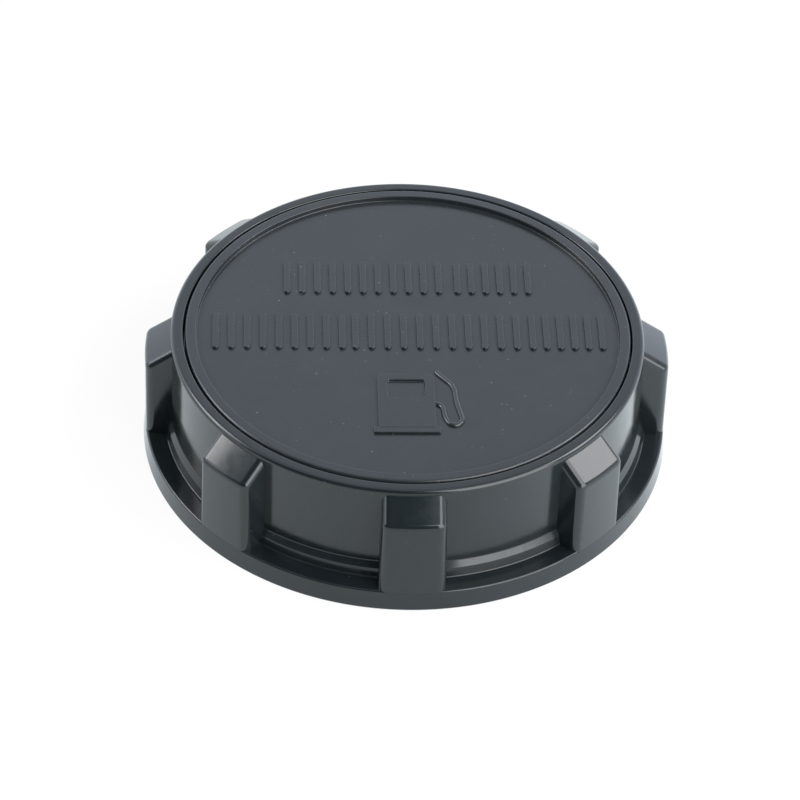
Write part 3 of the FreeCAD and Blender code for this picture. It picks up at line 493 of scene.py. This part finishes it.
def fine_shell():
    """Grip shell with fine rounds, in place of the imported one: ring, lugs and ratchet teeth."""
    ring = turned("grip_shell_fine", [
        (RECESS_RADIUS, TOP, EDGE_ROUND),
        (RIM_RADIUS, TOP, RIM_ROUND),
        (WALL_FOOT_RADIUS, CREASE_LEVEL, CREASE_ROUND),
        (SHOULDER_RADIUS, SHOULDER_LEVEL, FINE_ROUND),
        (STEP_FOOT_RADIUS, FLANGE_HEIGHT, STEP_FOOT_ROUND),
        (FACE_RADIUS, FLANGE_HEIGHT, FLANGE_ROUND),
        (SKIRT_RADIUS, 0, EDGE_ROUND),
        (GROOVE_OUTER, 0, FINE_ROUND),
        (GROOVE_OUTER, GROOVE_DEPTH, FINE_ROUND),
        (GROOVE_INNER, GROOVE_DEPTH, FINE_ROUND),
        (GROOVE_INNER, 0, FINE_ROUND),
        (MOUTH_RADIUS, 0, EDGE_ROUND),
        (inner_wall(BEAD_BOTTOM), BEAD_BOTTOM),
        (BEAD_RADIUS, BEAD_MIDDLE, BEAD_ROUND),
        (BEAD_RADIUS, BEAD_TOP, BEAD_ROUND),
        (inner_wall(BEAD_TOP), BEAD_TOP),
        (INNER_WALL_RADIUS, WEB_BOTTOM, EDGE_ROUND),
        (BEARING_RIB_OUTER, WEB_BOTTOM, EDGE_ROUND),
        (BEARING_RIB_OUTER, BEARING_RIB_BOTTOM, FINE_ROUND),
        (BEARING_RIB_INNER, BEARING_RIB_BOTTOM, FINE_ROUND),
        (BEARING_RIB_INNER, WEB_BOTTOM, EDGE_ROUND),
        (WEB_HOLE_RADIUS, WEB_BOTTOM, FINE_ROUND),
        (WEB_HOLE_RADIUS, WEB_TOP, FINE_ROUND),
        (RECESS_RADIUS, WEB_TOP, FINE_ROUND),
    ])
    cut(ring, join(copies_around(lug_core(), LUG_COUNT),
                   copies_around(prong_slot(), PRONG_COUNT)))
    join(ring, copies_around(hollow_lug(), LUG_COUNT),
         copies_around(ratchet_tooth(), TOOTH_COUNT))
    smooth_faces(ring)
    return ring


# Cover

def snap_prong():
    """One prong with its hook, along +X."""
    return across_block("snap_prong", [
        (PRONG_INNER, HOOK_BOTTOM), (PRONG_OUTER, HOOK_BOTTOM), (HOOK_OUTER, HOOK_MIDDLE),
        (HOOK_OUTER, HOOK_TOP), (PRONG_OUTER, HOOK_TOP), (PRONG_OUTER, PRONG_TOP),
        (PRONG_INNER, PRONG_TOP),
    ], lambda z: PRONG_HALF_WIDTH)


def soften(piece):
    """Round a raised form's edges as a mould leaves them."""
    apply_modifier(piece, "BEVEL", limit_method="ANGLE", angle_limit=math.radians(50),
                   width=RELIEF_ROUND * MM, segments=3)
    return piece


def raised(name, outline):
    """A raised form on the field, with its foot a little under it."""
    return upright_plate(name, outline, RELIEF_FOOT, RELIEF_TOP)


def rib_rows():
    """Two rows of ribs in groups, each group spaced evenly over its length."""
    half = RAISED_RIB_WIDTH / 2
    end = half * RAISED_RIB_END
    ribs = []
    for low, high, groups in RAISED_RIB_ROWS:
        for left, right in groups:
            length = right - left - RAISED_RIB_WIDTH
            count = round(length / RAISED_RIB_PITCH) + 1
            for i in range(count):
                x = left + half + length * i / (count - 1)
                outline = rounded_box(x - half, low, x + half, high, end, end)
                ribs.append(soften(raised("cover_rib", outline)))
    return join(*ribs)


def pump_sign():
    """A plain fuel pump: body with a window, foot and a hose on its right."""
    body = raised("pump_body", rounded_box(*PUMP_BODY))
    cut(body, upright_plate("pump_window", rounded_box(*PUMP_WINDOW),
                            FIELD_LEVEL + PUMP_WINDOW_SKIN, RELIEF_TOP + CUTTER_REACH))
    soften(body)
    foot = soften(raised("pump_foot", rounded_box(*PUMP_FOOT)))
    hose = tube("pump_hose", [(x, y, FIELD_LEVEL) for x, y in PUMP_HOSE],
                PUMP_HOSE_RADIUS, PUMP_HOSE_STEPS)
    return join(body, foot, hose)


def fine_cover():
    """Cover with fine rounds and its relief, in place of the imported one."""
    cover = turned("top_cover_fine", [
        (0, COVER_PLATE_BOTTOM),
        (FOOT_RING_INNER, COVER_PLATE_BOTTOM),
        (FOOT_RING_INNER, WEB_TOP),
        (COVER_RADIUS, WEB_TOP, FINE_ROUND),
        (COVER_RADIUS, TOP, COVER_ROUND),
        (BAND_INNER, TOP, FINE_ROUND),
        (BAND_INNER, FIELD_LEVEL, FINE_ROUND),
        (0, FIELD_LEVEL),
    ], closed=False)
    join(cover, copies_around(snap_prong(), PRONG_COUNT), rib_rows(), pump_sign())
    cover.data.transform(Matrix.Translation(COVER_SHIFT * MM))
    smooth_faces(cover)
    return cover


# Closure

def neck_thread():
    """One right-handed thread ridge inside the closure, which fades out at both ends."""
    steps = int(TURN_STEPS * THREAD_TURNS / 2)
    foot = THREAD_ROOT + THREAD_SUNK
    points, faces = [], []
    for i in range(steps + 1):
        share = i / steps
        fade = min(1.0, share / THREAD_FADE, (1 - share) / THREAD_FADE)
        crest = THREAD_ROOT - THREAD_DEPTH * math.sin(fade * math.pi / 2)
        turn = FULL_TURN * THREAD_TURNS * share
        level = THREAD_START + THREAD_PITCH * THREAD_TURNS * share
        for radius, rise in ((foot, -THREAD_FOOT_HALF), (crest, -THREAD_CREST_HALF),
                             (crest, THREAD_CREST_HALF), (foot, THREAD_FOOT_HALF)):
            points.append((radius * math.cos(turn), radius * math.sin(turn), level + rise))
    for i in range(steps):
        a, b = 4 * i, 4 * i + 4
        faces += [(a + k, a + (k + 1) % 4, b + (k + 1) % 4, b + k) for k in range(4)]
    faces += [(0, 1, 2, 3), tuple(4 * steps + k for k in range(4))]
    ridge = new_piece("neck_thread_ridge", points, faces=faces)
    edit(ridge, face_outwards)
    apply_modifier(ridge, "BEVEL", limit_method="ANGLE", angle_limit=math.radians(35),
                   width=THREAD_ROUND * MM, segments=2)
    smooth_faces(ridge)
    return ridge


# Springs

def fine_spring(node, wire, turns):
    """A coil spring of round wire, in place of a packed one."""
    low, high = (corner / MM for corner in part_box(node))
    radius = high.x - wire / 2
    rise = high.z - low.z - wire
    steps = int(turns * COIL_STEPS)
    route = []
    for i in range(steps + 1):
        turn = FULL_TURN * turns * i / steps
        route.append((radius * math.cos(turn), radius * math.sin(turn),
                      low.z + wire / 2 + rise * i / steps))
    spring = tube(node + "_coil", route, wire / 2, SPRING_WIRE_STEPS)
    edit(spring, face_outwards)
    smooth_faces(spring, angle=50)
    return spring


def shorten(spring):
    """Give a spring its own copy of its mesh."""
    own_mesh(spring)


# Finishes

def new_material(name):
    """An empty material, its node tree and the place on the piece."""
    material = bpy.data.materials.new(name)
    material.use_nodes = True
    tree = material.node_tree
    tree.nodes.clear()
    return material, tree, add(tree, "ShaderNodeTexCoord").outputs["Object"]


def give_surface(tree, inputs):
    """Close a material with one principled shader."""
    shader = add(tree, "ShaderNodeBsdfPrincipled", inputs)
    add(tree, "ShaderNodeOutputMaterial", {"Surface": shader})


def pattern(place, size, detail=2.0, roughness=0.5):
    """Inputs for noise whose features are about this size in millimetres."""
    return {"Vector": place, "Scale": 1 / (size * MM), "Detail": detail, "Roughness": roughness}


def mottled(tree, noise, dark, light):
    """A colour that drifts between two shades."""
    share = add(tree, "ShaderNodeTexNoise", noise)
    return add(tree, "ShaderNodeMix", {0: share, 6: srgb(dark), 7: srgb(light)},
               data_type="RGBA")


def patchy(tree, noise, low, high, start=0.3, end=0.7):
    """Low to high as the noise goes from start to end."""
    value = add(tree, "ShaderNodeTexNoise", noise)
    return add(tree, "ShaderNodeMapRange", {
        "Value": value, "From Min": start, "From Max": end, "To Min": low, "To Max": high})


def grained(tree, noise, depth, **under):
    """Relief of this depth in millimetres, added to any relief under it."""
    height = add(tree, "ShaderNodeTexNoise", noise)
    return add(tree, "ShaderNodeBump", {"Height": height, "Distance": depth * MM, **under})


def dusted(tree, place, colour, gloss, amount):
    """Specks of dust in patches, paler and duller than the plastic under them."""
    cells = add(tree, "ShaderNodeTexVoronoi", {
        "Vector": place, "Scale": 1 / (DUST_SPACING * MM), "Randomness": 1.0})
    near = add(tree, "ShaderNodeMapRange", {
        "Value": cells, "From Min": 0.05, "From Max": 0.12, "To Min": 1.0, "To Max": 0.0})
    chosen = patchy(tree, pattern(place, 4.5, 3, 0.6), 0.0, amount, start=0.50, end=0.68)
    speck = add(tree, "ShaderNodeMath", {0: near, 1: chosen}, operation="MULTIPLY")
    colour = add(tree, "ShaderNodeMix", {0: speck, 6: colour, 7: srgb("#8B9094")},
                 data_type="RGBA")
    return colour, add(tree, "ShaderNodeMath", {0: gloss, 1: speck}, operation="ADD")


def gate_dish(tree, place, surface):
    """The shallow dish that the mould's gate left in the cover."""
    away = add(tree, "ShaderNodeVectorMath", {0: place, 1: GATE_MARK * MM},
               operation="DISTANCE")
    dish = add(tree, "ShaderNodeMapRange", {
        "Value": away, "From Min": 0.0, "From Max": GATE_MARK_REACH * MM,
        "To Min": 0.0, "To Max": 1.0}, interpolation_type="SMOOTHSTEP")
    return add(tree, "ShaderNodeBump", {
        "Height": dish, "Distance": GATE_MARK_DEPTH * MM, "Normal": surface})


def moulded_plastic(name, dark, light, roughness, peel, grain, dust=0.0, gate=False):
    """Injection-moulded black plastic. The mould's polish gives a clear but softened reflection,
    shrinkage ripples it a little, and handling leaves fine dust that breaks up the gloss."""
    material, tree, place = new_material(name)
    colour = mottled(tree, pattern(place, 9, 3, 0.55), dark, light)
    gloss = patchy(tree, pattern(place, 2.2, 4, 0.6), roughness - 0.03, roughness + 0.05)
    if dust:
        colour, gloss = dusted(tree, place, colour, gloss, dust)
    ripple = grained(tree, pattern(place, 2.6, 2, 0.4), peel)
    surface = grained(tree, pattern(place, 0.35, 2, 0.5), grain, Normal=ripple)
    if gate:
        surface = gate_dish(tree, place, surface)
    give_surface(tree, {
        "Base Color": colour, "Roughness": gloss, "IOR": 1.5, "Normal": surface})
    return material


def pale_moulding(name, dark, light, roughness, ior):
    """Uncoloured engineering plastic, as moulded: milky, with a soft satin gloss."""
    material, tree, place = new_material(name)
    give_surface(tree, {
        "Base Color": mottled(tree, pattern(place, 4, 3, 0.5), dark, light),
        "Roughness": patchy(tree, pattern(place, 1.2, 3, 0.5),
                            roughness - 0.05, roughness + 0.06),
        "IOR": ior,
        "Normal": grained(tree, pattern(place, 0.3), 0.004)})
    return material


def nitrile_rubber():
    """Nitrile rubber, pressed in a mould: nearly matt black with a grey bloom."""
    material, tree, place = new_material("moulded_nitrile_rubber")
    give_surface(tree, {
        "Base Color": mottled(tree, pattern(place, 2.5, 4, 0.6), "#18191A", "#2B2C2D"),
        "Roughness": 0.62,
        "IOR": 1.52,
        "Normal": grained(tree, pattern(place, 0.25, 3, 0.6), 0.012)})
    return material


def filter_foam():
    """Open-cell polyurethane foam: a charcoal net of pores about 0.7 mm across, with painted
    shade darkening each pore inside.
    """
    material, tree, place = new_material("open_cell_foam")
    pores = add(tree, "ShaderNodeTexVoronoi", {
        "Vector": place, "Scale": 1 / (0.7 * MM), "Randomness": 1.0},
        feature="DISTANCE_TO_EDGE")
    depth = add(tree, "ShaderNodeMapRange", {
        "Value": pores, "From Min": 0.05, "From Max": 0.3})
    give_surface(tree, {
        # Painted shade: the colour darkens towards each pore's middle, where its pit is deepest
        "Base Color": add(tree, "ShaderNodeMix", {
            0: depth, 6: srgb("#4A4B4E"), 7: srgb("#101112")}, data_type="RGBA"),
        "Roughness": 0.9,
        "Normal": add(tree, "ShaderNodeBump", {"Height": depth, "Distance": 0.25 * MM},
                      invert=True)})
    return material


def spring_wire():
    """Drawn stainless spring wire: bright, with fine draw marks."""
    material, tree, place = new_material("drawn_stainless_wire")
    give_surface(tree, {
        "Base Color": srgb("#C9C7C2"), "Metallic": 1.0,
        "Roughness": patchy(tree, pattern(place, 0.25, 3, 0.6), 0.2, 0.38)})
    return material


def cap_finishes():
    """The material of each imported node."""
    shell = moulded_plastic("moulded_shell_plastic", "#161C1F", "#1D2427", 0.14,
                            peel=0.0035, grain=0.0006, dust=0.2)
    cover = moulded_plastic("moulded_cover_plastic", "#1E2327", "#262B2F", 0.24,
                            peel=0.003, grain=0.0008, dust=0.7, gate=True)
    closure = moulded_plastic("moulded_closure_plastic", "#1B1D1F", "#242628", 0.4,
                              peel=0.004, grain=0.002)
    acetal = pale_moulding("natural_acetal", "#DCD8CA", "#E8E5DA", 0.34, 1.48)
    nylon = pale_moulding("natural_nylon", "#CFC9B6", "#DEDACB", 0.42, 1.53)
    rubber = nitrile_rubber()
    wire = spring_wire()
    return {
        "grip_shell": shell, "top_cover": cover, "closure_cup": closure,
        "ratchet_ring": acetal, "vacuum_retainer": acetal,
        "valve_seat": nylon, "splash_baffle": nylon, "relief_plunger": nylon,
        "vacuum_valve": nylon,
        "neck_gasket": rubber, "seat_seal_ring": rubber, "relief_seal": rubber,
        "vent_filter": filter_foam(), "relief_spring": wire, "vacuum_spring": wire,
    }


def dress_cap():
    """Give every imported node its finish, and put the fine pieces in place."""
    finishes = cap_finishes()
    for name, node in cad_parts.items():
        for slot in node.material_slots:
            slot.material = finishes[name]

    shell_piece = fine_shell()
    finish_piece(shell_piece, finishes["grip_shell"], "grip")
    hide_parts("grip_shell")
    cover_piece = fine_cover()
    finish_piece(cover_piece, finishes["top_cover"], "grip")
    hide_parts("top_cover")
    finish_piece(neck_thread(), finishes["closure_cup"], "closure")

    relief = fine_spring("relief_spring", RELIEF_WIRE, RELIEF_TURNS)
    finish_piece(relief, finishes["relief_spring"], "closure")
    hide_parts("relief_spring")
    shorten(relief)
    vacuum = fine_spring("vacuum_spring", VACUUM_WIRE, VACUUM_TURNS)
    finish_piece(vacuum, finishes["vacuum_spring"], "relief_valve")
    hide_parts("vacuum_spring")
    shorten(vacuum)


# Studio

def place_camera():
    """Camera at the photograph's place: turned, raised and rolled round its target."""
    a, e, r = (math.radians(d) for d in (CAMERA_AZIMUTH, CAMERA_ELEVATION, CAMERA_ROLL))
    back = Vector((math.sin(a) * math.cos(e), -math.cos(a) * math.cos(e), math.sin(e)))
    level = Vector((math.cos(a), math.sin(a), 0))
    upright = back.cross(level)
    right = level * math.cos(r) + upright * math.sin(r)
    up = upright * math.cos(r) - level * math.sin(r)
    data = bpy.data.cameras.new("photo_camera")
    data.sensor_width = SENSOR_WIDTH
    data.lens = CAMERA_LENS
    camera = bpy.data.objects.new("photo_camera", data)
    bpy.context.scene.collection.objects.link(camera)
    turn = Matrix((right, up, back)).transposed().to_4x4()
    target = CAMERA_TARGET + (up - right) * CAMERA_NUDGE
    camera.matrix_world = Matrix.Translation(target + back * CAMERA_DISTANCE) @ turn
    bpy.context.scene.camera = camera


def soft_light(name, azimuth, elevation, distance, size, watts):
    """A soft box that faces the cap, its azimuth from +X towards +Y."""
    data = bpy.data.lights.new(name, "AREA")
    data.shape = "RECTANGLE"
    data.size, data.size_y = size
    data.energy = watts
    light = bpy.data.objects.new(name, data)
    bpy.context.scene.collection.objects.link(light)
    a, e = math.radians(azimuth), math.radians(elevation)
    away = Vector((math.cos(a) * math.cos(e), math.sin(a) * math.cos(e), math.sin(e)))
    light.location = away * distance
    light.rotation_euler = (-light.location).to_track_quat("-Z", "Y").to_euler()


def soft_steps(tree, axes, terms):
    """Sum of terms, each a product of soft steps. A step names its axis, where it starts and
    ends there and, unless it goes from 0 to 1, its two levels."""
    total = 0.0
    for steps in terms:
        product = 1.0
        for axis, start, end, *levels in steps:
            low, high = levels or (0.0, 1.0)
            step = add(tree, "ShaderNodeMapRange", {
                "Value": axes[axis], "From Min": start, "From Max": end,
                "To Min": low, "To Max": high}, interpolation_type="SMOOTHSTEP")
            product = add(tree, "ShaderNodeMath", {0: product, 1: step},
                          operation="MULTIPLY")
        total = add(tree, "ShaderNodeMath", {0: total, 1: product}, operation="ADD")
    return total


def mirrored_room(tree, axes):
    """Brightness of the room by direction: walls that are brighter behind, glows low behind
    and at the sides, and darkness at the camera and to its left."""
    walls = add(tree, "ShaderNodeMath", {
        0: soft_steps(tree, axes, [BACK_WALL]), 1: WALL_LEVEL}, operation="MAXIMUM")
    bright = add(tree, "ShaderNodeMath", {
        0: walls, 1: soft_steps(tree, axes, LOW_GLOWS)}, operation="ADD")
    dark = add(tree, "ShaderNodeMath", {
        0: soft_steps(tree, axes, [DARK_HEIGHT]), 1: soft_steps(tree, axes, [DARK_WIDTH])},
        operation="MULTIPLY")
    kept = soft_steps(tree, {"dark": dark}, [DARK_DEPTH])
    return add(tree, "ShaderNodeMath", {0: bright, 1: kept}, operation="MULTIPLY")


def light_studio():
    """White background, an even fill from above, the room in reflections, and soft boxes."""
    scene = bpy.context.scene
    scene.view_settings.view_transform = "Standard"
    world = bpy.data.worlds.new("studio_room")
    scene.world = world
    world.use_nodes = True
    tree = world.node_tree
    tree.nodes.clear()
    path = add(tree, "ShaderNodeLightPath").outputs
    ray = add(tree, "ShaderNodeTexCoord").outputs["Generated"]
    axes = dict(add(tree, "ShaderNodeSeparateXYZ", {0: ray}).outputs.items())
    axes["turn"] = add(tree, "ShaderNodeMath", {0: axes["Y"], 1: axes["X"]},
                       operation="ARCTAN2")
    room = add(tree, "ShaderNodeBackground", {
        "Color": srgb("#EAF2FF"), "Strength": mirrored_room(tree, axes)})
    fill = add(tree, "ShaderNodeBackground", {
        "Color": srgb("#FFFFFF"), "Strength": soft_steps(tree, axes, [FILL])})
    white = add(tree, "ShaderNodeBackground", {"Color": srgb("#FFFFFF"), "Strength": 1.0})
    lit = add(tree, "ShaderNodeMixShader", {0: path["Is Glossy Ray"], 1: fill, 2: room})
    seen = add(tree, "ShaderNodeMixShader", {0: path["Is Camera Ray"], 1: lit, 2: white})
    add(tree, "ShaderNodeOutputWorld", {"Surface": seen})
    for box in SOFT_BOXES:
        soft_light(*box)


def sweep_paper():
    """White paper that keeps the cap's soft shadow. Reflections see painted light on it, an
    emission brighter on the right, where the soft boxes stand, and the cap's sides mirror that.
    From below it is clear, to show the mouth."""
    material, tree, place = new_material("white_sweep_paper")
    path = add(tree, "ShaderNodeLightPath").outputs
    axes = add(tree, "ShaderNodeSeparateXYZ", {0: place}).outputs
    paper = add(tree, "ShaderNodeBsdfDiffuse", {"Color": srgb("#F2F2F2")})
    glow = add(tree, "ShaderNodeEmission", {"Color": srgb("#FFFFFF"), "Strength": 1.0})
    # Painted light: an emission, brighter on the right, stands in for the soft boxes' light on
    # the paper; only reflections see it
    painted_light = add(tree, "ShaderNodeEmission", {
        "Color": srgb("#EFF9FF"), "Strength": soft_steps(tree, axes, PAPER_PAINTED_LIGHT)})
    clear = add(tree, "ShaderNodeBsdfTransparent")
    to_camera = add(tree, "ShaderNodeMath", {0: path["Is Camera Ray"], 1: PAPER_SEEN},
                    operation="MULTIPLY")
    in_gloss = add(tree, "ShaderNodeMath", {0: path["Is Glossy Ray"], 1: PAPER_MIRRORED},
                   operation="MULTIPLY")
    from_below = add(tree, "ShaderNodeNewGeometry").outputs["Backfacing"]
    seen = add(tree, "ShaderNodeMixShader", {0: to_camera, 1: paper, 2: glow})
    above = add(tree, "ShaderNodeMixShader", {0: in_gloss, 1: seen, 2: painted_light})
    surface = add(tree, "ShaderNodeMixShader", {0: from_below, 1: above, 2: clear})
    add(tree, "ShaderNodeOutputMaterial", {"Surface": surface})
    return material


def lay_floor():
    bpy.ops.object.select_all(action="DESELECT")
    bpy.ops.mesh.primitive_plane_add(size=PAPER_SIZE, location=(0, 0, -PAPER_DROP))
    floor = bpy.context.object
    floor.name = "paper_floor"
    floor.data.materials.append(sweep_paper())


place_camera()
light_studio()
lay_floor()
dress_cap()
